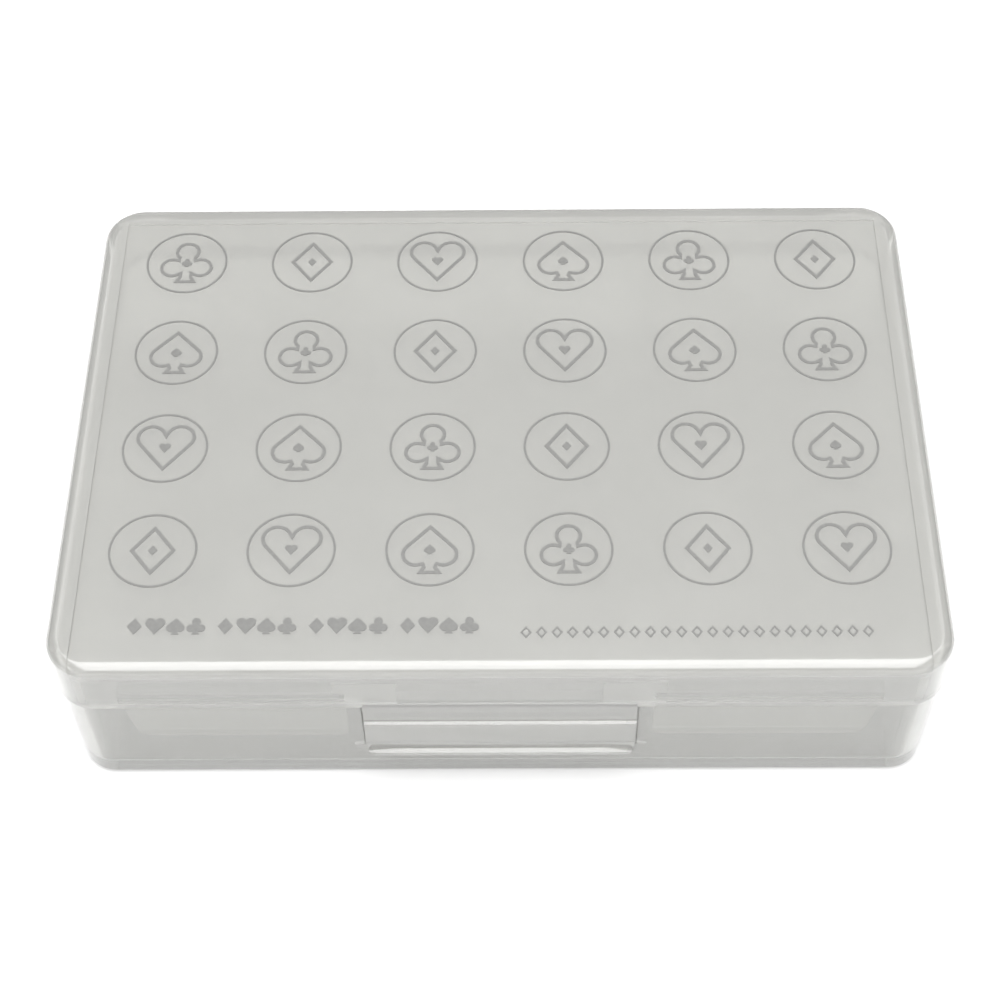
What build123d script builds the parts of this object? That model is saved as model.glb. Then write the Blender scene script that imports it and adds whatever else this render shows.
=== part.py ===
"""Deck box for one deck of playing cards: a polypropylene tray and lid joined by a moulded hinge along the
back, with a snap tab at the front and a pattern printed on the lid.

Millimetres. X runs along the long side, +Y to the back, +Z up. The origin is the centre of the closed
case's bounding box, on its underside."""
import os

from build123d import *

os.makedirs("parts", exist_ok=True)

# Closed case
case_width = 104.0  # lid, side to side
case_depth = 72.0  # lid, front face to rear face
case_height = 24.8  # underside of the tray to the top of the lid
lid_height = 8.3  # top of the lid down to its rim
corner_radius = 5.0  # upright corners of the lid
rim_gap = 0.2  # between the two rims when the case is shut

# Lid
lid_wall = 1.2
lid_roof = 1.4
lid_top_round = 1.3  # outer edge all round the top
lid_inner_round = 0.8
panel_inset = 3.0  # border round the sunk panel, at the sides and the back
panel_depth = 0.25

# Tray
base_step = 0.3  # the tray stands this far inside the lid's outer face
base_draft = 0.5  # how much each side of the tray draws in from rim to floor
base_wall = 1.4
base_floor = 1.4
base_bottom_round = 0.8
base_inner_round = 1.0

# Snap tab: a flush strip that bends, and below it a grip that stands proud
tab_width = 31.8
flexure_height = 4.0
flexure_thickness = 0.9
grip_height = 6.7
grip_proud = 0.35
grip_corner_radius = 1.6
lip_height = 0.8  # turned-out foot of the grip
lip_proud = 0.85
lip_back = 0.35  # how far the foot's back lies behind the lid's front face
foot_height = 1.5  # the thin part of the grip that hangs over the tray's wall

# Catch: the tray's wall steps in behind the tab and carries a ridge for the tab's hook
pocket_side_clearance = 0.3
pocket_wall = 1.0
pocket_cheek = 1.3
pocket_foot_overlap = 1.2  # the pocket ends this far above the foot of the tab
catch_rise = 2.1  # the catch wall stands this far above the lid's rim
ridge_height = 0.9
nose_gap = 0.05  # between the noses of the hook and the ridge
ridge_margin = 1.2  # from each end of the tab to the end of a ridge
hook_gap = 0.15  # under the catch ridge when the case is shut

# Pads inside the lid's front wall, over the ends of the tab
pad_inside_tab = 4.0  # from the tab's end towards the middle
pad_outside_tab = 3.4
pad_height = 4.4
pad_thickness = 0.35
pad_gap = 0.1  # to the catch wall

# Lips that hang from the lid inside the tray's front wall
lip_start_clearance = 0.5
lip_end_from_side = 7.7
lip_end_slant = 1.4
lip_depth = 9.0  # below the lid's rim
lip_straight = 6.9  # where the lead-in taper starts
lip_root_height = 2.0
lip_root_gap = 0.3
lip_gap = 0.15  # to the tray's wall at the rim
lip_draft = 0.3
lip_lead_in = 0.35
lip_thickness = 1.1
lip_corner_radius = 1.5

# Moulded hinge
hinge_end_from_side = 8.0
hinge_thickness = 0.35
hinge_inner_radius = 0.35
land_height = 1.6  # flush strip on the tray that the hinge grows from
land_margin = 1.0

# Printed pattern on the sunk panel
print_columns = 6
print_rows = 4
print_side_margin = 11.25  # to the centres of the outer medallions
print_front_margin = 16.7
print_back_margin = 9.7
medallion_radius = 5.25
ring_width = 0.45
ink_thickness = 0.05
title_side_margin = 9.0
title_height = 2.9
title_from_front = 6.1
small_line_height = 1.7
small_line_from_front = 5.1
line_start_x = 2.2  # the small line starts this far right of the middle, the title ends as far left

# Places worked out from the sizes above
hinge_outer_radius = hinge_inner_radius + hinge_thickness
front_y = -(case_depth + lip_proud + hinge_outer_radius) / 2 + lip_proud
rear_y = front_y + case_depth
middle_y = (front_y + rear_y) / 2
lid_rim_z = case_height - lid_height
base_rim_z = lid_rim_z - rim_gap
hinge_z = lid_rim_z - rim_gap / 2
base_width = case_width - 2 * base_step
base_depth = case_depth - 2 * base_step
base_radius = corner_radius - base_step
tab_back_y = front_y + flexure_thickness
grip_top_z = lid_rim_z - flexure_height
grip_bottom_z = grip_top_z - grip_height
pocket_y = front_y + lid_wall + pad_thickness + pad_gap
ridge_depth = (pocket_y - tab_back_y - nose_gap) / 2
pocket_half = tab_width / 2 + pocket_side_clearance
pocket_bottom_z = grip_bottom_z + pocket_foot_overlap
catch_half = pocket_half + pocket_cheek
catch_back_y = pocket_y + pocket_wall
catch_top_z = lid_rim_z + catch_rise
hook_top_z = grip_top_z - hook_gap
ridge_half = tab_width / 2 - ridge_margin
panel_z = case_height - panel_depth
print_pitch_x = (case_width - 2 * print_side_margin) / (print_columns - 1)
print_pitch_y = (case_depth - print_front_margin - print_back_margin) / (print_rows - 1)
print_y = front_y + print_front_margin
title_length = case_width / 2 - title_side_margin - line_start_x
lip_end_x = case_width / 2 - lip_end_from_side
hinge_half = case_width / 2 - hinge_end_from_side
pad_inner_x = tab_width / 2 - pad_inside_tab
pad_outer_x = tab_width / 2 + pad_outside_tab


def span(x, y, z):
    """A block between the two ends given for each axis."""
    corner = Pos((x[0] + x[1]) / 2, (y[0] + y[1]) / 2, (z[0] + z[1]) / 2)
    return corner * Box(x[1] - x[0], y[1] - y[0], z[1] - z[0])


def prism_along_x(points, half_length):
    """A section given as (y, z) points, run from -half_length to half_length along X."""
    section = make_face(Polyline([(0, y, z) for y, z in points], close=True))
    return Pos(-half_length, 0, 0) * extrude(section, amount=2 * half_length, dir=(1, 0, 0))


def drawn_block(width, depth, radius, draw, low_z, high_z):
    """A block with round upright corners, full size at the top and drawn in on each side at the bottom."""
    low = Pos(0, middle_y, low_z) * RectangleRounded(width - 2 * draw, depth - 2 * draw, radius - draw)
    high = Pos(0, middle_y, high_z) * RectangleRounded(width, depth, radius)
    return loft([low, high], ruled=True)


def straight_block(inset, low_z, high_z):
    """The lid's outline, moved in by inset, between two heights."""
    outline = RectangleRounded(case_width - 2 * inset, case_depth - 2 * inset, corner_radius - inset)
    return extrude(Pos(0, middle_y, low_z) * outline, amount=high_z - low_z)


def ridge(face_y, flat_z, out, up):
    """A snap ridge: a flat side at flat_z, a nose that stands out from face_y, and a slope back to it."""
    nose_z = flat_z + up * ridge_height / 2
    end_z = flat_z + up * ridge_height
    points = [(face_y, flat_z), (face_y + out, flat_z), (face_y + out, nose_z), (face_y, end_z)]
    return prism_along_x(points, ridge_half)


def base_tray():
    """The tray: drawn walls, a pocket behind the tab with its catch wall, and the land of the hinge."""
    tray = drawn_block(base_width, base_depth, base_radius, base_draft, 0, base_rim_z)
    tray = fillet(tray.edges().group_by(Axis.Z)[0], base_bottom_round)
    cavity = drawn_block(
        base_width - 2 * base_wall,
        base_depth - 2 * base_wall,
        base_radius - base_wall,
        base_draft,
        base_floor,
        base_rim_z,
    )
    tray -= fillet(cavity.edges().group_by(Axis.Z)[0], base_inner_round)

    catch_x = (-catch_half, catch_half)
    inside_wall_y = front_y + base_step + base_draft + base_wall / 2
    tray += span(catch_x, (inside_wall_y, catch_back_y), (pocket_bottom_z - pocket_wall, base_rim_z))
    tray -= span((-pocket_half, pocket_half), (front_y, pocket_y), (pocket_bottom_z, base_rim_z))
    tray += span(catch_x, (pocket_y, catch_back_y), (base_rim_z, catch_top_z))
    tray += ridge(pocket_y, grip_top_z, -ridge_depth, 1)

    land_half = hinge_half + land_margin
    land_y = (rear_y - base_step - base_wall / 2, rear_y)
    tray += span((-land_half, land_half), land_y, (base_rim_z - land_height, base_rim_z))
    return tray


def lip_section():
    """Side view of a front lip: a root against the lid's wall, a drawn blade, and a lead-in at its foot."""
    blade_y = front_y + base_step + base_wall + lip_gap
    back_y = blade_y + lip_thickness
    straight_end_y = blade_y + lip_draft
    return [
        (front_y + lid_wall / 2, lid_rim_z + lip_root_height),
        (back_y, lid_rim_z + lip_root_height),
        (back_y, lid_rim_z - lip_depth),
        (straight_end_y + lip_lead_in, lid_rim_z - lip_depth),
        (straight_end_y, lid_rim_z - lip_straight),
        (blade_y, lid_rim_z + lip_root_gap),
        (front_y + lid_wall / 2, lid_rim_z + lip_root_gap),
    ]


def front_lip(side):
    """One lip of the lid, right of the tab (side = 1) or left of it (side = -1)."""
    start_x = catch_half + lip_start_clearance
    low_z = lid_rim_z - lip_depth
    high_z = lid_rim_z + lip_root_height
    corners = [
        (side * start_x, high_z),
        (side * start_x, low_z),
        (side * (lip_end_x - lip_end_slant), low_z),
        (side * lip_end_x, lid_rim_z),
        (side * lip_end_x, high_z),
    ]
    outline = make_face(Polyline([(x, front_y, z) for x, z in corners], close=True))
    outline = fillet(outline.vertices().group_by(Axis.Z)[0], lip_corner_radius)
    front_view = extrude(outline, amount=lid_wall + base_wall + lip_thickness + 1, dir=(0, 1, 0))
    return front_view & prism_along_x(lip_section(), case_width / 2)


def rounded_top(inset, top_z, radius):
    """A straight block from the lid's rim up to top_z, with its top edge rounded."""
    block = straight_block(inset, lid_rim_z, top_z)
    return fillet(block.edges().group_by(Axis.Z)[-1], radius)


def lid_shell():
    """The lid: roof with its sunk panel, walls, the two front lips and the pads over the tab's ends.

    The panel's own rounding runs down into the front wall."""
    panel_half = case_width / 2 - panel_inset
    panel = span((-panel_half, panel_half), (front_y, rear_y - panel_inset), (lid_rim_z, case_height))
    lid = rounded_top(0, case_height, lid_top_round) - panel
    lid += rounded_top(0, panel_z, lid_top_round) & panel
    lid -= rounded_top(lid_wall, case_height - lid_roof, lid_inner_round)

    wall_y = front_y + lid_wall
    for side in (-1, 1):
        lid += front_lip(side)
        pad_x = sorted((side * pad_inner_x, side * pad_outer_x))
        lid += span(pad_x, (wall_y - lid_wall / 2, wall_y + pad_thickness), (lid_rim_z, lid_rim_z + pad_height))
    return lid


def tab_flexure():
    """The thin strip that joins the tab to the lid and bends when the tab is pulled."""
    half = tab_width / 2
    return span((-half, half), (front_y, tab_back_y), (grip_top_z, lid_rim_z))


def latch_tab():
    """The grip, with its turned-out foot and the hook on its back."""
    half = tab_width / 2
    grip_y = front_y - grip_proud
    foot_y = front_y - lip_proud
    points = [
        (grip_y, grip_top_z),
        (tab_back_y, grip_top_z),
        (tab_back_y, grip_bottom_z + foot_height),
        (front_y + lip_back, grip_bottom_z + foot_height),
        (front_y + lip_back, grip_bottom_z),
        (foot_y, grip_bottom_z),
        (foot_y, grip_bottom_z + lip_height),
        (grip_y, grip_bottom_z + lip_height),
    ]
    grip = prism_along_x(points, half)
    upright = grip.edges().filter_by(Axis.Y).group_by(Axis.Z)[0]
    grip = fillet(upright, grip_corner_radius)
    return grip + ridge(tab_back_y, hook_top_z, ridge_depth, -1)


def hinge_web():
    """The moulded hinge: a thin strip that loops out from the tray's land to the lid's wall."""
    along_x = Pos(0, rear_y, hinge_z) * Rot(0, 90, 0)
    loop = along_x * Cylinder(hinge_outer_radius, 2 * hinge_half)
    loop -= along_x * Cylinder(hinge_inner_radius, 2 * hinge_half)
    return loop & span(
        (-hinge_half, hinge_half),
        (rear_y, rear_y + hinge_outer_radius),
        (hinge_z - hinge_outer_radius, hinge_z + hinge_outer_radius),
    )


def lid_print():
    """The printed film of ink on the sunk panel: a ring for each medallion and a band for each line below."""
    height = (panel_z, panel_z + ink_thickness)
    ring = Cylinder(medallion_radius, ink_thickness)
    ring -= Cylinder(medallion_radius - ring_width, ink_thickness)
    marks = []
    for row in range(print_rows):
        for column in range(print_columns):
            x = (column - (print_columns - 1) / 2) * print_pitch_x
            y = print_y + row * print_pitch_y
            marks.append(Pos(x, y, panel_z + ink_thickness / 2) * ring)
    title_y = front_y + title_from_front
    small_y = front_y + small_line_from_front
    title_x = (-line_start_x - title_length, -line_start_x)
    marks.append(span(title_x, (title_y - title_height / 2, title_y + title_height / 2), height))
    small_x = (line_start_x, line_start_x + title_length)
    marks.append(span(small_x, (small_y - small_line_height / 2, small_y + small_line_height / 2), height))
    return Compound(children=marks)


nodes = {
    "base_tray": base_tray(),
    "lid_shell": lid_shell(),
    "tab_flexure": tab_flexure(),
    "latch_tab": latch_tab(),
    "hinge_web": hinge_web(),
    "lid_print": lid_print(),
}
for name, shape in nodes.items():
    export_step(shape, f"parts/{name}.step")
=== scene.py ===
"""Looks of a shallow deck box for trading cards, in milky polypropylene with a snap tab and a printed lid.

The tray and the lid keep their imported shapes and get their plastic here. The snap tab, the moulded hinge
and the printed ink are modelled here, and stand for the plain solids of the frame. Metres, in the frame's
own axes: X along the long side, +Y to the hinge, +Z up."""
import math

import bmesh
import bpy
from bpy.props import FloatProperty, FloatVectorProperty, IntProperty, PointerProperty
from mathutils import Matrix, Vector


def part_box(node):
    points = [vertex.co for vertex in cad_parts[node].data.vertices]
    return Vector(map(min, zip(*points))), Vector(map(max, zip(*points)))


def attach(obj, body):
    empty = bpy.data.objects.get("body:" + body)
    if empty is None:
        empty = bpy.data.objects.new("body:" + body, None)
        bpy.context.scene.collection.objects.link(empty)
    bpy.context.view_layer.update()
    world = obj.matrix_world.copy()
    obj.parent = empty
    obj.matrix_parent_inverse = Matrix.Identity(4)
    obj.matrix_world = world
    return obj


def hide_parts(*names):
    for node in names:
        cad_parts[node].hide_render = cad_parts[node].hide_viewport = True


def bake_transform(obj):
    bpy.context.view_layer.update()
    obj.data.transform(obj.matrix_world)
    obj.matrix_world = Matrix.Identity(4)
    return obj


bl_info = {
    "name": "Deck Box Looks",
    "version": (1, 0, 0),
    "blender": (4, 5, 0),
    "location": "3D View > Sidebar > Deck Box",
    "description": "Finishes a milky deck box with a snap tab, a moulded hinge and a printed lid",
    "category": "Object",
}

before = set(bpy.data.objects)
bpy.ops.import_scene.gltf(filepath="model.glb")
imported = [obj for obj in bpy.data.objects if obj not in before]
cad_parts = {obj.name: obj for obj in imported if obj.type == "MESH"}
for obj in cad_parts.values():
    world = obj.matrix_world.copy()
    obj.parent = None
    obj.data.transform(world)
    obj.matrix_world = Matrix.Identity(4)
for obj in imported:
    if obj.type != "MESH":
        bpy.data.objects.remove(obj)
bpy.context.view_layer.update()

MM = 0.001
TOUCH = 0.01 * MM  # how near a face or an edge lies to the plane by which it is picked
PLASTIC_IOR = 1.49
ROOF_FADE = 0.2 * MM  # half the height over which the lid's wall plastic turns into the roof's
lid_low, lid_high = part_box("lid_shell")
grip_low, grip_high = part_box("latch_tab")
flexure_low, flexure_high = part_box("tab_flexure")
hinge_low, hinge_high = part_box("hinge_web")
print_low, print_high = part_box("lid_print")
front_y = lid_low.y
rear_y = lid_high.y


# Settings


class PlasticSettings(bpy.types.PropertyGroup):
    """The milky polypropylene of the whole moulding."""

    colour: FloatVectorProperty(
        name="Colour", description="Body colour of the milky plastic",
        subtype="COLOR", size=3, min=0, max=1, default=(0.575, 0.575, 0.549),
    )
    clearness: FloatProperty(
        name="Clearness", description="Share of the light that goes through the lid's walls and the tab",
        subtype="FACTOR", min=0, max=1, default=0.7,
    )
    tray_colour: FloatVectorProperty(
        name="Tray Colour", description="Body colour of the tray's thicker walls",
        subtype="COLOR", size=3, min=0, max=1, default=(0.64, 0.64, 0.612),
    )
    tray_clearness: FloatProperty(
        name="Tray Clearness", description="Share of the light that goes through the tray's walls",
        subtype="FACTOR", min=0, max=1, default=0.83,
    )
    roof_clearness: FloatProperty(
        name="Roof Clearness", description="Share of the light that goes through the lid's roof",
        subtype="FACTOR", min=0, max=1, default=0.61,
    )
    roof_roughness: FloatProperty(
        name="Roof Satin", description="Roughness that the lid's roof has on top of the walls'",
        subtype="FACTOR", min=0, max=1, default=0.05,
    )
    # Painted light: this whiter colour goes on the lips, the lines along them, a band over the lid's front
    # wall and the tray's catch; partly thicker plastic, partly painted highlight.
    thick_and_painted_light_colour: FloatVectorProperty(
        name="Milky Colour", description="Colour of the thicker and whiter sections",
        subtype="COLOR", size=3, min=0, max=1, default=(0.86, 0.86, 0.825),
    )
    roof_reach: FloatProperty(
        name="Roof Reach", description="How far down from its top the lid has the roof's plastic",
        unit="LENGTH", subtype="DISTANCE", min=0.5 * MM, max=5 * MM, default=2 * MM, precision=5,
    )
    # Painted highlights: two whiter, glowing lines along each front lip stand in for light caught by the
    # lip's lower edges.
    lip_highlight_height: FloatProperty(
        name="Lip Line", description="Height of each white line along a front lip",
        unit="LENGTH", subtype="DISTANCE", min=0.1 * MM, max=1 * MM, default=0.35 * MM, precision=5,
    )
    lip_highlight_places: FloatVectorProperty(
        name="Lip Line Places", description="Heights at which the two white lines of a front lip start",
        unit="LENGTH", size=2, default=(7.6 * MM, 9.4 * MM),
    )
    # Painted glow: emission in the same places, standing in for light that gathers there; the plastic is no
    # lamp.
    painted_glow: FloatProperty(
        name="Milky Glow", description="Light that spreads inside the thicker sections and comes out of them",
        subtype="FACTOR", min=0, max=1, default=0.06,
    )
    milky_clearness: FloatProperty(
        name="Milky Clearness", description="Share of the light that goes through a thicker section",
        subtype="FACTOR", min=0, max=1, default=0.22,
    )
    roughness: FloatProperty(
        name="Roughness", description="Mean roughness of the satin surface",
        subtype="FACTOR", min=0, max=1, default=0.11,
    )
    coat_roughness: FloatProperty(
        name="Gloss Roughness", description="Roughness of the thin gloss on the surface",
        subtype="FACTOR", min=0, max=1, default=0.07,
    )
    hinge_thickness: FloatProperty(
        name="Hinge Thickness", description="Thickness of the moulded hinge",
        unit="LENGTH", subtype="DISTANCE", min=0.1 * MM, max=0.6 * MM, default=0.35 * MM, precision=5,
    )
    grain_height: FloatProperty(
        name="Grain Height", description="Height of the fine satin grain",
        unit="LENGTH", subtype="DISTANCE", min=0, max=0.1 * MM, default=0.0008 * MM, precision=6,
    )


class TabSettings(bpy.types.PropertyGroup):
    """The snap tab: a flush strip that bends, and the grip below it."""

    grip_proud: FloatProperty(
        name="Grip Proud", description="How far the grip stands out from the lid's front face",
        unit="LENGTH", subtype="DISTANCE", min=0.1 * MM, max=1 * MM, default=0.35 * MM, precision=5,
    )
    lip_height: FloatProperty(
        name="Foot Height", description="Height of the turned-out foot of the grip",
        unit="LENGTH", subtype="DISTANCE", min=0.3 * MM, max=2 * MM, default=0.8 * MM, precision=5,
    )
    lip_back: FloatProperty(
        name="Foot Back", description="How far the foot's back lies behind the lid's front face",
        unit="LENGTH", subtype="DISTANCE", min=0.1 * MM, max=0.8 * MM, default=0.35 * MM, precision=5,
    )
    foot_height: FloatProperty(
        name="Thin Height", description="Height of the thin part of the grip over the tray's wall",
        unit="LENGTH", subtype="DISTANCE", min=1 * MM, max=3 * MM, default=1.5 * MM, precision=5,
    )
    ledge_rise: FloatProperty(
        name="Ledge Rise", description="How far the grip's top ledge reaches up the bending strip",
        unit="LENGTH", subtype="DISTANCE", min=0, max=2 * MM, default=0.8 * MM, precision=5,
    )
    foot_rise: FloatProperty(
        name="Foot Rise", description="How far the finished foot ends above the plain grip's end",
        unit="LENGTH", subtype="DISTANCE", min=0, max=1.1 * MM, default=1.0 * MM, precision=5,
    )
    side_growth: FloatProperty(
        name="Side Growth", description="How far each side reaches into the gap beside the tab",
        unit="LENGTH", subtype="DISTANCE", min=0, max=0.1 * MM, default=0.07 * MM, precision=5,
    )
    slope: FloatProperty(
        name="Slope", description="How far the upward faces of the grip and its foot fall towards the front",
        unit="LENGTH", subtype="DISTANCE", min=0, max=0.5 * MM, default=0.28 * MM, precision=5,
    )
    corner_radius: FloatProperty(
        name="Corner Radius", description="Radius of the grip's two lower corners",
        unit="LENGTH", subtype="DISTANCE", min=0.2 * MM, max=3 * MM, default=1.6 * MM, precision=5,
    )
    edge_radius: FloatProperty(
        name="Edge Radius", description="Small rounding of the tab's edges",
        unit="LENGTH", subtype="DISTANCE", min=0.02 * MM, max=0.3 * MM, default=0.1 * MM, precision=5,
    )
    wall_depth: FloatProperty(
        name="Wall Depth", description="From the lid's front face to what stands behind the front wall",
        unit="LENGTH", subtype="DISTANCE", min=1 * MM, max=3 * MM, default=1.6 * MM, precision=5,
    )
    hook_height: FloatProperty(
        name="Hook Height", description="Height of the hook on the back of the grip",
        unit="LENGTH", subtype="DISTANCE", min=0.3 * MM, max=2 * MM, default=0.9 * MM, precision=5,
    )
    hook_gap: FloatProperty(
        name="Hook Gap", description="From the top of the grip down to the hook",
        unit="LENGTH", subtype="DISTANCE", min=0, max=1 * MM, default=0.15 * MM, precision=5,
    )
    hook_margin: FloatProperty(
        name="Hook Margin", description="From each end of the tab to the end of the hook",
        unit="LENGTH", subtype="DISTANCE", min=0, max=5 * MM, default=1.2 * MM, precision=5,
    )


class InkSettings(bpy.types.PropertyGroup):
    """The grey pad print on the lid."""

    colour: FloatVectorProperty(
        name="Ink Colour", description="Colour of the grey ink",
        subtype="COLOR", size=3, min=0, max=1, default=(0.155, 0.155, 0.149),
    )
    columns: IntProperty(name="Columns", description="Medallions in a row", min=2, max=12, default=6)
    rows: IntProperty(name="Rows", description="Rows of medallions", min=2, max=8, default=4)
    pitch: FloatVectorProperty(
        name="Pitch", description="From one medallion to the next, across and back",
        unit="LENGTH", subtype="XYZ", size=2, default=(16.3 * MM, 15.2 * MM),
    )
    first_row: FloatProperty(
        name="First Row", description="From the lid's front face back to the middle of the first medallions",
        unit="LENGTH", subtype="DISTANCE", min=8 * MM, max=30 * MM, default=16.7 * MM, precision=5,
    )
    groups: IntProperty(
        name="Groups", description="Groups of solid suits in the left row", min=1, max=6, default=4,
    )
    group_gap: FloatProperty(
        name="Group Gap", description="Extra gap between two groups of solid suits",
        unit="LENGTH", subtype="DISTANCE", min=0, max=3 * MM, default=1 * MM, precision=5,
    )
    diamonds: IntProperty(
        name="Diamonds", description="Outlined diamonds in the right row", min=5, max=40, default=23,
    )
    radius: FloatProperty(
        name="Radius", description="Radius of a medallion",
        unit="LENGTH", subtype="DISTANCE", min=2 * MM, max=8 * MM, default=5.25 * MM, precision=5,
    )
    ring_line: FloatProperty(
        name="Ring Line", description="Width of a medallion's outer line",
        unit="LENGTH", subtype="DISTANCE", min=0.1 * MM, max=1 * MM, default=0.27 * MM, precision=5,
    )
    suit_height: FloatProperty(
        name="Suit Height", description="Height of the large suit in a medallion",
        unit="LENGTH", subtype="DISTANCE", min=2 * MM, max=8 * MM, default=7.0 * MM, precision=5,
    )
    suit_line: FloatProperty(
        name="Suit Line", description="Width of the bold line round a suit",
        unit="LENGTH", subtype="DISTANCE", min=0.1 * MM, max=1 * MM, default=0.42 * MM, precision=5,
    )
    core_height: FloatProperty(
        name="Core Height", description="Height of the small solid suit in the middle of a medallion",
        unit="LENGTH", subtype="DISTANCE", min=0.5 * MM, max=4 * MM, default=1.4 * MM, precision=5,
    )
    title_height: FloatProperty(
        name="Title Height", description="Height of the solid suits in the left row of marks",
        unit="LENGTH", subtype="DISTANCE", min=1 * MM, max=4 * MM, default=2.2 * MM, precision=5,
    )
    title_y: FloatProperty(
        name="Title Place", description="From the lid's front face back to the left row of marks",
        unit="LENGTH", subtype="DISTANCE", min=3 * MM, max=10 * MM, default=6.1 * MM, precision=5,
    )
    small_height: FloatProperty(
        name="Small Height", description="Height of the outlined marks in the right row",
        unit="LENGTH", subtype="DISTANCE", min=0.5 * MM, max=3 * MM, default=1.65 * MM, precision=5,
    )
    small_line: FloatProperty(
        name="Small Line", description="Line width of the marks in the right row",
        unit="LENGTH", subtype="DISTANCE", min=0.05 * MM, max=0.5 * MM, default=0.2 * MM, precision=5,
    )
    small_y: FloatProperty(
        name="Small Place", description="From the lid's front face back to the right row of marks",
        unit="LENGTH", subtype="DISTANCE", min=3 * MM, max=10 * MM, default=5.1 * MM, precision=5,
    )
    row_length: FloatProperty(
        name="Row Length", description="Length of each row of marks",
        unit="LENGTH", subtype="DISTANCE", min=10 * MM, max=45 * MM, default=40.8 * MM, precision=5,
    )
    middle_gap: FloatProperty(
        name="Middle Gap", description="Gap between the two rows of marks",
        unit="LENGTH", subtype="DISTANCE", min=1 * MM, max=10 * MM, default=4.4 * MM, precision=5,
    )


class StageSettings(bpy.types.PropertyGroup):
    """The pale floor, the studio light and the camera."""

    surround: FloatProperty(
        name="Surround", description="Strength of the even white light from all round",
        min=0, max=5, default=0.62,
    )
    surround_rise: FloatProperty(
        name="Surround Rise", description="How much stronger the even light is from straight above",
        min=0, max=5, default=0.25,
    )
    side_dimming: FloatProperty(
        name="Side Dimming", description="How much weaker the even light is from both sides",
        min=0, max=1, default=0.22,
    )
    back_dimming: FloatProperty(
        name="Back Dimming", description="How much weaker the even light is from the hinge side",
        min=0, max=1, default=0.12,
    )
    overhead: FloatProperty(
        name="Overhead Light", description="Power of the wide lamp above the box",
        unit="POWER", min=0, max=50, default=8.7,
    )
    lamp_place: FloatVectorProperty(
        name="Lamp Place", description="Where the wide lamp hangs",
        unit="LENGTH", subtype="TRANSLATION", size=3, default=(0, -0.305, 0.6),
    )
    lamp_size: FloatVectorProperty(
        name="Lamp Size", description="Width and depth of the wide lamp",
        unit="LENGTH", size=2, default=(0.56, 1.17),
    )
    floor_size: FloatProperty(
        name="Floor Size", description="Width of the floor",
        unit="LENGTH", subtype="DISTANCE", min=1, max=20, default=6,
    )
    floor_colour: FloatVectorProperty(
        name="Floor Colour", description="Colour of the floor",
        subtype="COLOR", size=3, min=0, max=1, default=(0.68, 0.68, 0.68),
    )
    floor_glow: FloatProperty(
        name="Floor Glow", description="Light that the floor gives by itself, which keeps its shadows faint",
        min=0, max=2, default=0.12,
    )
    focal_length: FloatProperty(
        name="Focal Length", description="Focal length of the camera, in millimetres on a 36 mm sensor",
        min=20, max=200, default=77.3,
    )
    tilt_down: FloatProperty(
        name="Tilt Down", description="How far below the horizon the camera looks",
        subtype="ANGLE", default=math.radians(53.79),
    )
    heading: FloatProperty(
        name="Heading", description="Turn of the camera to the left of the hinge side",
        subtype="ANGLE", default=math.radians(1.09),
    )
    roll: FloatProperty(
        name="Roll", description="Turn of the camera about its own line of sight",
        subtype="ANGLE", default=math.radians(-1.16),
    )
    place: FloatVectorProperty(
        name="Camera Place", description="Where the camera stands",
        unit="LENGTH", subtype="TRANSLATION", size=3, default=(2.94 * MM, -163.4 * MM, 231.23 * MM),
    )


# Materials


def add_node(tree, kind, label="", **sockets):
    """A shader node with its input sockets set by name."""
    node = tree.nodes.new(kind)
    node.label = label
    for name, value in sockets.items():
        node.inputs[name.replace("_", " ")].default_value = value
    return node


def new_material(name):
    """A material with an empty tree, its Principled shader and its output."""
    material = bpy.data.materials.new(name)
    material.use_nodes = True
    tree = material.node_tree
    tree.nodes.clear()
    shader = tree.nodes.new("ShaderNodeBsdfPrincipled")
    output = tree.nodes.new("ShaderNodeOutputMaterial")
    tree.links.new(shader.outputs["BSDF"], output.inputs["Surface"])
    return material, tree, shader


def noise(tree, coords, size, detail, label):
    """A noise texture whose blotches are about size metres across."""
    node = add_node(tree, "ShaderNodeTexNoise", label, Scale=1 / size, Detail=detail, Roughness=0.55)
    tree.links.new(coords.outputs["Object"], node.inputs["Vector"])
    return node


def ranged(tree, source, low, high, start=0.3, end=0.7):
    """The source value, taken from start...end (a noise's usual range) to low...high."""
    node = tree.nodes.new("ShaderNodeMapRange")
    node.inputs["From Min"].default_value = start
    node.inputs["From Max"].default_value = end
    node.inputs["To Min"].default_value = low
    node.inputs["To Max"].default_value = high
    tree.links.new(source, node.inputs["Value"])
    return node.outputs["Result"]


def inside(tree, coords, low, high):
    """1 inside the box between two corners, given for the right half and mirrored to the left, else 0."""
    low, high = Vector(low), Vector(high)
    place = tree.nodes.new("ShaderNodeSeparateXYZ")
    tree.links.new(coords.outputs["Object"], place.inputs["Vector"])
    result = None
    for axis, start, end in zip("XYZ", low, high):
        value = place.outputs[axis]
        if axis == "X":
            value = math_node(tree, "ABSOLUTE", value)
        within = math_node(tree, "COMPARE", value, (start + end) / 2, (end - start) / 2)
        result = within if result is None else math_node(tree, "MULTIPLY", result, within)
    return result


def math_node(tree, operation, *values):
    """One math node; each value is a number or a socket."""
    node = tree.nodes.new("ShaderNodeMath")
    node.operation = operation
    for socket, value in zip(node.inputs, values):
        if isinstance(value, bpy.types.NodeSocket):
            tree.links.new(value, socket)
        else:
            socket.default_value = value
    return node.outputs["Value"]


def mixed(tree, factor, first, second):
    """A colour between two, by a factor; each is a colour or a socket."""
    mix = tree.nodes.new("ShaderNodeMix")
    mix.data_type = "RGBA"
    tree.links.new(factor, mix.inputs["Factor"])
    for name, value in (("A", first), ("B", second)):
        if isinstance(value, bpy.types.NodeSocket):
            tree.links.new(value, mix.inputs[name])
        else:
            mix.inputs[name].default_value = (*value, 1)
    return mix.outputs["Result"]


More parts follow.
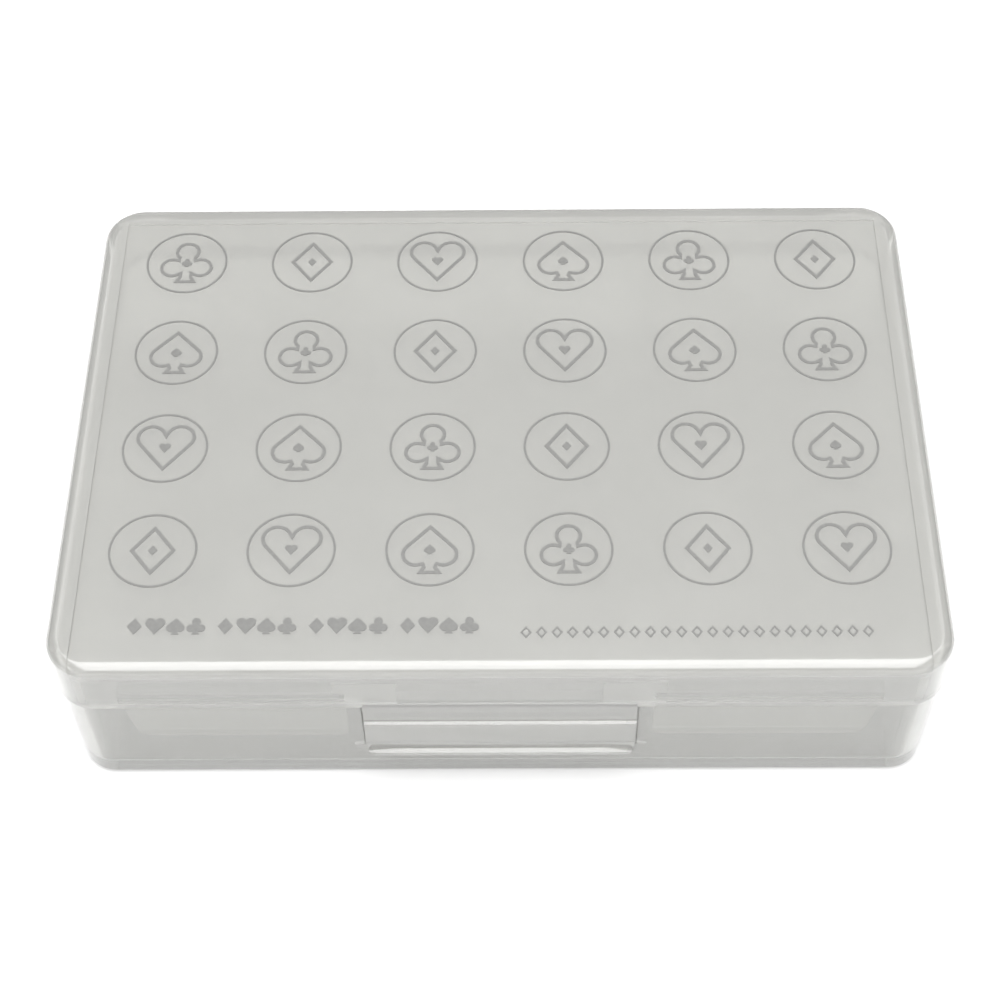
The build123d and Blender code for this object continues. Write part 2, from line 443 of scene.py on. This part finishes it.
def milky_plastic(name, colour, clearness, thick_and_painted_light_boxes=(), roof_z=None):
    """Satin milky polypropylene: part of the light goes through, and the rest scatters in the wall.

    In the boxes, given as two corners and a share, the plastic is whiter, glows and lets less light through:
    partly thicker plastic, partly painted light, the whiter colour and the glow standing in for light that
    gathers in lips and ledges.
    A shell with such boxes may have a roof above roof_z, which is more satin and lets less light through."""
    found = bpy.data.materials.get(name)
    if found:
        return found
    settings = bpy.context.scene.deck_plastic
    material, tree, shader = new_material(name)
    coords = tree.nodes.new("ShaderNodeTexCoord")
    colour = Vector(colour)

    clouds = noise(tree, coords, 14 * MM, 3.0, "Cloudy flow of the melt")
    tone = mixed(tree, ranged(tree, clouds.outputs["Fac"], 0, 1), colour * 0.97, colour * 1.02)
    wear = noise(tree, coords, 3 * MM, 4.0, "Handling haze")
    haze = ranged(tree, wear.outputs["Fac"], settings.roughness * 0.85, settings.roughness * 1.2)
    if thick_and_painted_light_boxes:
        # Share of the whiter, glowing plastic: partly thicker plastic, partly painted light.
        thick_and_painted_light = 0.0
        for low, high, amount in thick_and_painted_light_boxes:
            filled = math_node(tree, "MULTIPLY", inside(tree, coords, low, high), amount)
            thick_and_painted_light = math_node(tree, "MAXIMUM", thick_and_painted_light, filled)
        # Painted light: the colour turns whiter in the boxes, partly for thicker plastic and partly as a
        # painted highlight.
        tone = mixed(tree, thick_and_painted_light, tone, settings.thick_and_painted_light_colour)
        # Painted glow: the boxes give out light of their own, though the plastic is no lamp.
        glow = mixed(tree, thick_and_painted_light, (0, 0, 0), (settings.painted_glow,) * 3)
        tree.links.new(glow, shader.inputs["Emission Color"])
        shader.inputs["Emission Strength"].default_value = 1.0
        share = ranged(tree, thick_and_painted_light, clearness, settings.milky_clearness, 0, 1)
        if roof_z:
            place = tree.nodes.new("ShaderNodeSeparateXYZ")
            tree.links.new(coords.outputs["Object"], place.inputs["Vector"])
            roof = ranged(tree, place.outputs["Z"], 0, 1, roof_z - ROOF_FADE, roof_z + ROOF_FADE)
            haze = math_node(tree, "ADD", haze, math_node(tree, "MULTIPLY", roof, settings.roof_roughness))
            less = math_node(tree, "MULTIPLY", roof, clearness - settings.roof_clearness)
            share = math_node(tree, "SUBTRACT", share, less)
        tree.links.new(share, shader.inputs["Transmission Weight"])
    else:
        shader.inputs["Transmission Weight"].default_value = clearness
    tree.links.new(tone, shader.inputs["Base Color"])
    tree.links.new(haze, shader.inputs["Roughness"])

    grain = noise(tree, coords, 0.5 * MM, 2.0, "Satin grain")
    bump = add_node(tree, "ShaderNodeBump", "Satin grain", Strength=1.0, Distance=settings.grain_height)
    tree.links.new(grain.outputs["Fac"], bump.inputs["Height"])
    tree.links.new(bump.outputs["Normal"], shader.inputs["Normal"])

    shader.inputs["IOR"].default_value = PLASTIC_IOR
    shader.inputs["Coat Weight"].default_value = 1.0
    shader.inputs["Coat Roughness"].default_value = settings.coat_roughness
    return material


def grey_ink():
    """Thin matte grey ink with faint pinholes."""
    found = bpy.data.materials.get("pad_print_ink")
    if found:
        return found
    settings = bpy.context.scene.deck_ink
    material, tree, shader = new_material("pad_print_ink")
    coords = tree.nodes.new("ShaderNodeTexCoord")
    cover = noise(tree, coords, 0.5 * MM, 3.0, "Uneven cover")
    colour = Vector(settings.colour)
    tone = mixed(tree, ranged(tree, cover.outputs["Fac"], 0, 1), colour * 0.93, colour * 1.08)
    tree.links.new(tone, shader.inputs["Base Color"])
    tree.links.new(ranged(tree, cover.outputs["Fac"], 0.5, 0.6), shader.inputs["Roughness"])
    shader.inputs["IOR"].default_value = PLASTIC_IOR
    return material


# Modelling helpers


def start_block(name, low, high):
    """A cube primitive between two corners, with its place in its mesh, alone selected and in edit mode."""
    bpy.ops.object.select_all(action="DESELECT")
    low, high = Vector(low), Vector(high)
    bpy.ops.mesh.primitive_cube_add(size=1, location=(low + high) / 2, scale=high - low)
    block = bpy.context.object
    block.name = name
    block.data.name = name
    bpy.ops.object.transform_apply(location=True, rotation=True, scale=True)
    bpy.ops.object.mode_set(mode="EDIT")
    return block


def pick(piece, kind, test):
    """Selects, in edit mode, only the faces or edges (kind) that pass the test; returns how many."""
    mode = {"faces": "FACE", "edges": "EDGE", "verts": "VERT"}[kind]
    bpy.ops.mesh.select_mode(type=mode)
    bpy.ops.mesh.select_all(action="DESELECT")
    mesh = bmesh.from_edit_mesh(piece.data)
    mesh.normal_update()
    count = 0
    for part in getattr(mesh, kind):
        if test(part):
            part.select_set(True)
            count += 1
    mesh.select_flush_mode()
    bmesh.update_edit_mesh(piece.data)
    if not count:
        raise RuntimeError(f"{piece.name}: nothing to pick for this step")
    return count


def middle(edge):
    """The middle of an edge."""
    return (edge.verts[0].co + edge.verts[1].co) / 2


def push_out(x=0.0, y=0.0, z=0.0):
    """Extrudes what is selected by one move."""
    bpy.ops.mesh.extrude_region_move(TRANSFORM_OT_translate={"value": (x, y, z)})


def cut(point, normal, everything=True):
    """Cuts the mesh, or only what is selected, by a plane."""
    if everything:
        bpy.ops.mesh.select_all(action="SELECT")
    bpy.ops.mesh.bisect(plane_co=point, plane_no=normal)


def leave_edit(piece, smooth_angle=35):
    """Closes the edit: merges doubles, turns faces outwards and shades soft edges smooth."""
    bpy.ops.mesh.select_mode(type="VERT")
    bpy.ops.mesh.select_all(action="SELECT")
    bpy.ops.mesh.remove_doubles(threshold=0.001 * MM)
    bpy.ops.mesh.normals_make_consistent(inside=False)
    bpy.ops.object.mode_set(mode="OBJECT")
    bpy.ops.object.shade_smooth_by_angle(angle=math.radians(smooth_angle))
    return piece


def intersect(piece, cutter):
    """Keeps the part of piece inside cutter, and removes cutter."""
    bpy.ops.object.select_all(action="DESELECT")
    bpy.context.view_layer.objects.active = piece
    piece.select_set(True)
    trim = piece.modifiers.new("Outline", "BOOLEAN")
    trim.operation = "INTERSECT"
    trim.solver = "EXACT"
    trim.object = cutter
    bpy.ops.object.modifier_apply(modifier=trim.name)
    bpy.data.objects.remove(cutter)


def wear_material(piece, material):
    """Gives a piece its one material."""
    piece.data.materials.clear()
    piece.data.materials.append(material)


# Pieces


def model_snap_tab():
    """The tab from its profile: foot, grip, strip and hook, then its round lower corners and soft edges."""
    tab = bpy.context.scene.deck_tab
    half = flexure_high.x + tab.side_growth
    back_y = flexure_high.y
    grip_y = front_y - tab.grip_proud
    bottom, top = grip_low.z + tab.foot_rise, grip_high.z + tab.ledge_rise
    thin_top = bottom + tab.foot_height

    piece = start_block(
        "snap_tab",
        (-half, grip_low.y, bottom),
        (half, front_y + tab.lip_back, bottom + tab.lip_height),
    )
    cut((0, grip_y, 0), (0, 1, 0))
    pick(
        piece, "edges",
        lambda e: middle(e).y < grip_low.y + TOUCH and middle(e).z > bottom + tab.lip_height - TOUCH,
    )
    bpy.ops.transform.translate(value=(0, 0, -tab.slope))
    pick(
        piece, "faces",
        lambda f: f.normal.z > 0.9 and f.calc_center_median().y > grip_y
        and f.calc_center_median().z > bottom + tab.lip_height - TOUCH,
    )
    push_out(z=tab.foot_height - tab.lip_height)
    pick(piece, "faces", lambda f: f.normal.z > 0.9 and f.calc_center_median().z > thin_top - TOUCH)
    push_out(z=top - thin_top)
    pick(piece, "faces", lambda f: f.normal.y > 0.9 and f.calc_center_median().z > thin_top)
    push_out(y=back_y - (front_y + tab.lip_back))
    pick(piece, "faces", lambda f: f.normal.z > 0.9 and f.calc_center_median().z > top - TOUCH)
    cut((0, front_y, 0), (0, 1, 0), everything=False)
    pick(
        piece, "edges",
        lambda e: middle(e).y < grip_y + TOUCH and middle(e).z > top - TOUCH,
    )
    bpy.ops.transform.translate(value=(0, 0, -tab.slope))
    pick(
        piece, "faces",
        lambda f: f.normal.z > 0.9 and f.calc_center_median().z > top - TOUCH
        and f.calc_center_median().y > front_y,
    )
    push_out(z=flexure_high.z - top)

    hook_top = grip_high.z - tab.hook_gap
    hook_low = hook_top - tab.hook_height
    hook_half = half - tab.hook_margin
    for point, normal in (
        ((hook_half, 0, 0), (1, 0, 0)),
        ((-hook_half, 0, 0), (1, 0, 0)),
        ((0, 0, hook_top), (0, 0, 1)),
        ((0, 0, hook_low), (0, 0, 1)),
    ):
        pick(
            piece, "faces",
            lambda f: f.normal.y > 0.9 and f.calc_center_median().y > back_y - TOUCH
            and f.calc_center_median().z < top,
        )
        cut(point, normal, everything=False)
    pick(
        piece, "faces",
        lambda f: f.normal.y > 0.9 and abs(f.calc_center_median().x) < hook_half
        and hook_low < f.calc_center_median().z < hook_top,
    )
    push_out(y=grip_high.y - back_y)
    pick(
        piece, "edges",
        lambda e: middle(e).y > grip_high.y - TOUCH and abs(middle(e).z - hook_low) < TOUCH,
    )
    bpy.ops.transform.translate(value=(0, 0, tab.hook_height / 2))
    leave_edit(piece)

    outline = start_block(
        "outline", (-half, grip_low.y - MM, bottom), (half, grip_high.y + MM, flexure_high.z + MM)
    )
    pick(
        outline, "edges",
        lambda e: abs(middle(e).z - bottom) < TOUCH and abs(middle(e).x) > half - TOUCH,
    )
    bpy.ops.mesh.bevel(offset=tab.corner_radius, segments=10, affect="EDGES")
    leave_edit(outline)
    intersect(piece, outline)

    bpy.ops.object.mode_set(mode="EDIT")
    bpy.ops.mesh.select_all(action="SELECT")
    bpy.ops.mesh.dissolve_limited(angle_limit=math.radians(1))
    seat_z = flexure_high.z - TOUCH
    pick(
        piece, "edges",
        lambda e: e.is_convex and e.calc_face_angle() > math.radians(35) and middle(e).z < seat_z,
    )
    bpy.ops.mesh.bevel(offset=tab.edge_radius, segments=3, affect="EDGES", clamp_overlap=True)
    bends = 10
    for step in range(1, bends):
        cut((0, 0, top + (flexure_high.z - top) * step / bends), (0, 0, 1))
    leave_edit(piece, 30)
    return piece


def model_hinge_strip():
    """The moulded hinge: the strip's section spun half a turn from the tray's land to the lid's wall."""
    half = hinge_high.x
    middle_z = (hinge_low.z + hinge_high.z) / 2
    thickness = bpy.context.scene.deck_plastic.hinge_thickness
    bpy.ops.object.select_all(action="DESELECT")
    bpy.ops.mesh.primitive_plane_add(
        size=1, location=(0, rear_y, hinge_low.z + thickness / 2), rotation=(math.pi / 2, 0, 0)
    )
    strip = bpy.context.object
    strip.name = "hinge_strip"
    strip.data.name = "hinge_strip"
    strip.scale = (2 * half, thickness, 1)
    bpy.ops.object.transform_apply(location=True, rotation=True, scale=True)
    bpy.ops.object.mode_set(mode="EDIT")
    bpy.ops.mesh.select_all(action="SELECT")
    bpy.ops.mesh.spin(steps=20, angle=math.pi, center=(0, rear_y, middle_z), axis=(-1, 0, 0))
    return leave_edit(strip)


SUITS = {
    "diamond": ((0, -1, 0, 0, 0), (0.78, 0, 0, 0, 0), (0, 1, 0, 0, 0)),
    "heart": ((0, -1, 0, 0, 0), (0.5, 0.46, 0.54, -39, 197)),
    "spade": (
        (0, -1, 0, 0, 0), (0.42, -1, 0, 0, 0), (0.25, -0.72, 0, 0, 0),
        (0.46, -0.2, 0.5, -112, 156), (0, 1, 0, 0, 0),
    ),
    "club": (
        (0, -1, 0, 0, 0), (0.42, -1, 0, 0, 0), (0.26, -0.7, 0, 0, 0),
        (0.52, -0.25, 0.46, -125, 235.6), (0, 0.54, 0.46, -40, 130),
    ),
}


def draw_suit(suit, height):
    """One suit as a flat face round the origin: half its outline from arcs and corners, then mirrored.

    Each stroke is an arc: centre x and y, radius, start angle and turn in degrees, for a half height of 1;
    a radius of 0 is a corner. Straight lines join the strokes."""
    half = height / 2
    bpy.ops.object.select_all(action="DESELECT")
    bpy.ops.mesh.primitive_plane_add(size=MM, location=(0, 0, 0))
    piece = bpy.context.object
    piece.name = suit
    bpy.ops.object.mode_set(mode="EDIT")
    bpy.ops.mesh.select_mode(type="VERT")
    bpy.ops.mesh.select_all(action="SELECT")
    bpy.ops.mesh.merge(type="CENTER")
    place = Vector((0, 0, 0))
    for number, (x, y, radius, start, turn) in enumerate(SUITS[suit]):
        centre = Vector((x, y, 0)) * half
        angle = math.radians(start)
        target = centre + Vector((math.cos(angle), math.sin(angle), 0)) * radius * half
        if number:
            push_out(*(target - place))
        else:
            bpy.ops.transform.translate(value=target)
        place = target
        if radius:
            bpy.ops.mesh.spin(
                steps=round(turn / 9), angle=-math.radians(turn), center=centre, axis=(0, 0, 1)
            )
            end = angle + math.radians(turn)
            place = centre + Vector((math.cos(end), math.sin(end), 0)) * radius * half
    bpy.ops.object.mode_set(mode="OBJECT")
    mirror = piece.modifiers.new("Other half", "MIRROR")
    mirror.merge_threshold = 0.03 * MM
    bpy.ops.object.modifier_apply(modifier=mirror.name)
    bpy.ops.object.mode_set(mode="EDIT")
    bpy.ops.mesh.select_mode(type="VERT")
    bpy.ops.mesh.select_all(action="SELECT")
    bpy.ops.mesh.remove_doubles(threshold=0.02 * MM)
    bpy.ops.mesh.edge_face_add()
    bpy.ops.object.mode_set(mode="OBJECT")
    return piece


def line_band(piece, line):
    """Leaves only a line along the edge of a flat face."""
    bpy.ops.object.mode_set(mode="EDIT")
    bpy.ops.mesh.select_mode(type="FACE")
    bpy.ops.mesh.select_all(action="SELECT")
    bpy.ops.mesh.inset(thickness=line, depth=0, use_even_offset=True)
    bpy.ops.mesh.delete(type="FACE")
    bpy.ops.object.mode_set(mode="OBJECT")
    return piece


def join(name, pieces):
    """Joins pieces into the first one."""
    bpy.ops.object.select_all(action="DESELECT")
    for piece in pieces:
        piece.select_set(True)
    bpy.context.view_layer.objects.active = pieces[0]
    if len(pieces) > 1:
        bpy.ops.object.join()
    pieces[0].name = name
    pieces[0].data.name = name
    return pieces[0]


def copy_to(piece, x, y):
    """A copy of a flat piece with its own mesh, moved in its mesh."""
    bpy.ops.object.select_all(action="DESELECT")
    bpy.context.view_layer.objects.active = piece
    piece.select_set(True)
    bpy.ops.object.duplicate(linked=False)
    copy = bpy.context.object
    bpy.ops.object.mode_set(mode="EDIT")
    bpy.ops.mesh.select_mode(type="VERT")
    bpy.ops.mesh.select_all(action="SELECT")
    bpy.ops.transform.translate(value=(x, y, 0))
    bpy.ops.object.mode_set(mode="OBJECT")
    return copy


def model_medallion(suit):
    """One medallion round the origin: an outer ring, a suit in bold outline and a small solid suit in it."""
    ink = bpy.context.scene.deck_ink
    bpy.ops.object.select_all(action="DESELECT")
    bpy.ops.mesh.primitive_circle_add(vertices=72, radius=ink.radius, fill_type="NGON", location=(0, 0, 0))
    ring = line_band(bpy.context.object, ink.ring_line)
    bold = line_band(draw_suit(suit, ink.suit_height), ink.suit_line)
    core = draw_suit(suit, ink.core_height)
    return join("medallion_" + suit, [ring, bold, core])


def model_print():
    """All the ink: medallions in a grid, a row of solid suits on the left, outlined diamonds on the right."""
    ink = bpy.context.scene.deck_ink
    suits = list(SUITS)
    printed = []

    originals = [model_medallion(suit) for suit in suits]
    first_x = -(ink.columns - 1) / 2 * ink.pitch[0]
    first_y = front_y + ink.first_row
    for row in range(ink.rows):
        for column in range(ink.columns):
            original = originals[(row + column) % len(originals)]
            printed.append(copy_to(original, first_x + column * ink.pitch[0], first_y + row * ink.pitch[1]))

    solid = [draw_suit(suit, ink.title_height) for suit in suits]
    step = (ink.row_length - (ink.groups - 1) * ink.group_gap) / (ink.groups * len(suits))
    for group in range(ink.groups):
        for number, original in enumerate(solid):
            x = -ink.middle_gap / 2 - ink.row_length + (group * len(suits) + number + 0.5) * step
            x += group * ink.group_gap
            printed.append(copy_to(original, x, front_y + ink.title_y))

    outlined = line_band(draw_suit("diamond", ink.small_height), ink.small_line)
    for number in range(ink.diamonds):
        x = ink.middle_gap / 2 + (number + 0.5) * ink.row_length / ink.diamonds
        printed.append(copy_to(outlined, x, front_y + ink.small_y))

    for original in (*originals, *solid, outlined):
        bpy.data.objects.remove(original)
    piece = join("lid_medallions", printed)
    bpy.ops.object.mode_set(mode="EDIT")
    bpy.ops.mesh.select_mode(type="FACE")
    bpy.ops.mesh.select_all(action="SELECT")
    bpy.ops.transform.translate(value=(0, 0, print_low.z))
    push_out(z=print_high.z - print_low.z)
    return leave_edit(piece)


class DECKBOX_OT_shells(bpy.types.Operator):
    """Give the tray and the lid their milky plastic"""

    bl_idname = "deckbox.shells"
    bl_label = "Tray and Lid"

    def execute(self, context):
        plastic = context.scene.deck_plastic
        inner_y = front_y + context.scene.deck_tab.wall_depth
        rim_z = flexure_high.z
        # Each box has two corners and the share of the whiter colour and the painted glow in it.
        # The lips are real thicker plastic; their whiter colour and glow also stand in for light piped into
        # them (painted light).
        lips = ((0, inner_y, 0), (lid_high.x, inner_y + 2 * MM, rim_z), 0.75)
        # Painted highlights: two lines along each front lip, for light caught by its lower edges.
        lip_highlights = [
            ((0, inner_y, low_z), (lid_high.x, inner_y + 2 * MM, low_z + plastic.lip_highlight_height), 1.0)
            for low_z in plastic.lip_highlight_places
        ]
        # Painted light: a whiter, faintly glowing band along the inside of the lid's front wall above the
        # rim, across the whole width.
        painted_front_wall_band = ((0, inner_y - 0.3 * MM, rim_z), (lid_high.x, inner_y, rim_z + 5 * MM), 0.3)
        # Painted highlight: the tray's catch behind the tab gets the whiter colour and the glow, for its
        # bright band.
        catch_end = (flexure_high.x + 2 * MM, inner_y + 1.3 * MM, rim_z + 3 * MM)
        catch_highlight = ((0, inner_y, rim_z - 0.2 * MM), catch_end, 0.6)
        thick_and_painted_light = (lips, painted_front_wall_band, *lip_highlights)
        roof_z = lid_high.z - plastic.roof_reach
        lid = milky_plastic("lid_plastic", plastic.colour, plastic.clearness, thick_and_painted_light, roof_z)
        tray = milky_plastic("tray_plastic", plastic.tray_colour, plastic.tray_clearness, (catch_highlight,))
        wear_material(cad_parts["lid_shell"], lid)
        wear_material(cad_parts["base_tray"], tray)
        return {"FINISHED"}


class DECKBOX_OT_snap_tab(bpy.types.Operator):
    """Model the snap tab under the lid's rim, with cuts across its bending strip"""

    bl_idname = "deckbox.snap_tab"
    bl_label = "Snap Tab"

    def execute(self, context):
        piece = model_snap_tab()
        plastic = context.scene.deck_plastic
        wear_material(piece, milky_plastic("tab_plastic", plastic.colour, plastic.clearness))
        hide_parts("latch_tab", "tab_flexure")
        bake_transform(piece)
        return {"FINISHED"}


class DECKBOX_OT_hinge(bpy.types.Operator):
    """Model the moulded hinge between the tray and the lid"""

    bl_idname = "deckbox.hinge"
    bl_label = "Moulded Hinge"

    def execute(self, context):
        piece = model_hinge_strip()
        plastic = context.scene.deck_plastic
        wear_material(piece, milky_plastic("tab_plastic", plastic.colour, plastic.clearness))
        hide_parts("hinge_web")
        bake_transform(piece)
        return {"FINISHED"}


class DECKBOX_OT_print(bpy.types.Operator):
    """Print the grey medallions and the two lines on the lid"""

    bl_idname = "deckbox.print"
    bl_label = "Lid Print"

    def execute(self, context):
        piece = model_print()
        wear_material(piece, grey_ink())
        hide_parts("lid_print")
        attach(piece, "lid")
        return {"FINISHED"}


class DECKBOX_OT_stage(bpy.types.Operator):
    """Set the pale floor, the studio light and the camera"""

    bl_idname = "deckbox.stage"
    bl_label = "Stage"

    def execute(self, context):
        settings = context.scene.deck_stage
        scene = context.scene
        bpy.ops.object.select_all(action="DESELECT")
        bpy.ops.mesh.primitive_plane_add(size=settings.floor_size, location=(0, 0, 0))
        floor = context.object
        floor.name = "studio_floor"
        material, tree, shader = new_material("pale_floor")
        shader.inputs["Base Color"].default_value = (*settings.floor_colour, 1)
        shader.inputs["Roughness"].default_value = 0.9
        shader.inputs["Emission Color"].default_value = (1, 1, 1, 1)
        shader.inputs["Emission Strength"].default_value = settings.floor_glow
        floor.data.materials.append(material)

        world = bpy.data.worlds.new("studio_surround")
        world.use_nodes = True
        background = world.node_tree.nodes["Background"]
        background.inputs["Color"].default_value = (1, 1, 1, 1)
        coords = world.node_tree.nodes.new("ShaderNodeTexCoord")
        way = world.node_tree.nodes.new("ShaderNodeSeparateXYZ")
        world.node_tree.links.new(coords.outputs["Generated"], way.inputs["Vector"])
        dimmed = math_node(world.node_tree, "MULTIPLY", way.outputs["X"], way.outputs["X"])
        dimmed = math_node(world.node_tree, "MULTIPLY", dimmed, -settings.side_dimming)
        risen = math_node(world.node_tree, "MULTIPLY", way.outputs["Z"], settings.surround_rise)
        backed = math_node(world.node_tree, "MULTIPLY", way.outputs["Y"], -settings.back_dimming)
        total = math_node(world.node_tree, "ADD", dimmed, settings.surround)
        total = math_node(world.node_tree, "ADD", total, risen)
        total = math_node(world.node_tree, "ADD", total, backed)
        world.node_tree.links.new(total, background.inputs["Strength"])
        scene.world = world

        bpy.ops.object.light_add(type="AREA", location=settings.lamp_place)
        lamp = context.object
        lamp.name = "overhead_softbox"
        lamp.data.energy = settings.overhead
        lamp.data.shape = "RECTANGLE"
        lamp.data.size, lamp.data.size_y = settings.lamp_size

        camera = bpy.data.objects.new("camera", bpy.data.cameras.new("camera"))
        scene.collection.objects.link(camera)
        camera.data.sensor_width = 36
        camera.data.lens = settings.focal_length
        camera.data.clip_start = 1 * MM
        camera.matrix_world = (
            Matrix.Translation(settings.place)
            @ Matrix.Rotation(settings.heading, 4, "Z")
            @ Matrix.Rotation(math.pi / 2 - settings.tilt_down, 4, "X")
            @ Matrix.Rotation(settings.roll, 4, "Z")
        )
        scene.camera = camera
        scene.view_settings.view_transform = "Standard"
        return {"FINISHED"}


class DECKBOX_PT_steps(bpy.types.Panel):
    """Lists the steps and their settings"""

    bl_idname = "DECKBOX_PT_steps"
    bl_label = "Deck Box"
    bl_space_type = "VIEW_3D"
    bl_region_type = "UI"
    bl_category = "Deck Box"

    def draw(self, context):
        for step in STEPS:
            self.layout.operator(step.bl_idname, text=step.bl_label)
        for group in SETTINGS:
            settings = getattr(context.scene, group)
            for name in settings.bl_rna.properties.keys():
                if name not in ("rna_type", "name"):
                    self.layout.prop(settings, name)


STEPS = (DECKBOX_OT_shells, DECKBOX_OT_snap_tab, DECKBOX_OT_hinge, DECKBOX_OT_print, DECKBOX_OT_stage)
SETTINGS = {
    "deck_plastic": PlasticSettings,
    "deck_tab": TabSettings,
    "deck_ink": InkSettings,
    "deck_stage": StageSettings,
}


def register():
    """Registers the settings, the steps and the panel."""
    for group, settings in SETTINGS.items():
        bpy.utils.register_class(settings)
        setattr(bpy.types.Scene, group, PointerProperty(type=settings))
    for kind in (*STEPS, DECKBOX_PT_steps):
        bpy.utils.register_class(kind)


def unregister():
    """Takes away what register made."""
    for kind in (DECKBOX_PT_steps, *reversed(STEPS)):
        bpy.utils.unregister_class(kind)
    for group, settings in SETTINGS.items():
        delattr(bpy.types.Scene, group)
        bpy.utils.unregister_class(settings)


def main():
    """Runs the steps in order."""
    register()
    bpy.ops.deckbox.shells()
    bpy.ops.deckbox.snap_tab()
    bpy.ops.deckbox.hinge()
    bpy.ops.deckbox.print()
    bpy.ops.deckbox.stage()


if __name__ == "__main__":
    main()
